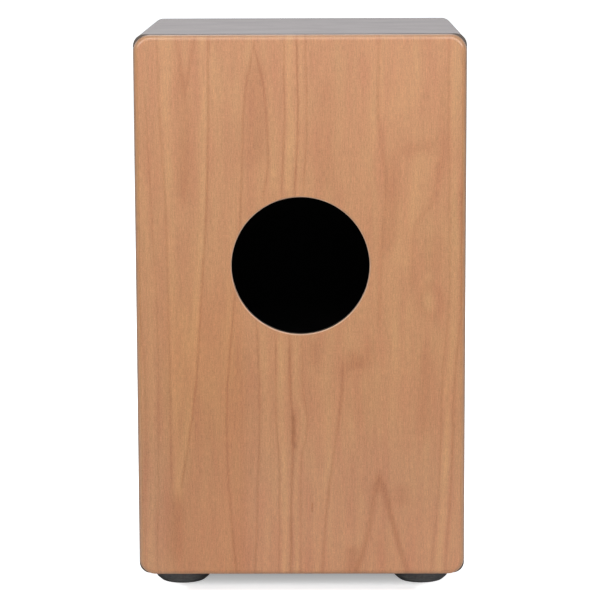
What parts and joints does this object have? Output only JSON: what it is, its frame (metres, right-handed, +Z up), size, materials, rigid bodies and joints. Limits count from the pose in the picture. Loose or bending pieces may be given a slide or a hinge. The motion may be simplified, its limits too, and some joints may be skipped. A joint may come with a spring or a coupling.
{
  "type": "cajon",
  "caption": "Box drum with a round sound hole in its rear panel, a screwed-on playing plate, rubber feet and a turning snare bar inside.",
  "frame": {"origin": "on the floor, under the middle of the box", "axes": "+Z up, -Y towards the rear panel with the sound hole, +Y towards the playing plate, +X to the right seen from the rear"},
  "size_m": [0.3, 0.3, 0.509],
  "materials": {
    "veneer": "satin open-pored veneer",
    "black_lacquer": "black satin lacquer",
    "black_stain": "matte black stain",
    "beech": "bare sanded wood",
    "foot_rubber": "matte",
    "zinc_steel": "zinc plated",
    "black_steel": "black oxide",
    "snare_steel": "bright drawn wire",
    "felt": "pressed felt"
  },
  "bodies": {
    "root": {"bottom_board": "black_lacquer", "foot_front_left": "foot_rubber", "foot_front_right": "foot_rubber", "foot_rear_left": "foot_rubber", "foot_rear_right": "foot_rubber", "foot_screw_front_left": "zinc_steel", "foot_screw_front_right": "zinc_steel", "foot_screw_rear_left": "zinc_steel", "foot_screw_rear_right": "zinc_steel", "foot_washer_front_left": "zinc_steel", "foot_washer_front_right": "zinc_steel", "foot_washer_rear_left": "zinc_steel", "foot_washer_rear_right": "zinc_steel", "friction_washer_left": "felt", "friction_washer_right": "felt", "glue_block_bottom_left": "black_stain", "glue_block_bottom_right": "black_stain", "glue_block_top_left": "black_stain", "glue_block_top_right": "black_stain", "left_side_board": "black_lacquer", "rear_panel": "veneer", "right_side_board": "black_lacquer", "snare_support_left": "black_stain", "snare_support_right": "black_stain", "support_screw_left_lower": "zinc_steel", "support_screw_left_upper": "zinc_steel", "support_screw_right_lower": "zinc_steel", "support_screw_right_upper": "zinc_steel", "tapa": "veneer", "tapa_screw_bottom_left": "black_steel", "tapa_screw_bottom_middle": "black_steel", "tapa_screw_bottom_right": "black_steel", "tapa_screw_left_1": "black_steel", "tapa_screw_left_2": "black_steel", "tapa_screw_left_3": "black_steel", "tapa_screw_left_4": "black_steel", "tapa_screw_right_1": "black_steel", "tapa_screw_right_2": "black_steel", "tapa_screw_right_3": "black_steel", "tapa_screw_right_4": "black_steel", "tapa_screw_top_left": "black_steel", "tapa_screw_top_middle": "black_steel", "tapa_screw_top_right": "black_steel", "top_board": "black_lacquer"},
    "snare_unit": {"snare_bar": "beech", "snare_screw_left_inner": "zinc_steel", "snare_screw_left_outer": "zinc_steel", "snare_screw_right_inner": "zinc_steel", "snare_screw_right_outer": "zinc_steel", "snare_set_left": "snare_steel", "snare_set_right": "snare_steel"}
  },
  "joints": [
    {"name": "snare_tilt", "type": "hinge", "parent": "root", "child": "snare_unit", "pos_m": [0, 0.124, 0.365], "axis": [1, 0, 0], "range_deg": [0, 20]}
  ]
}
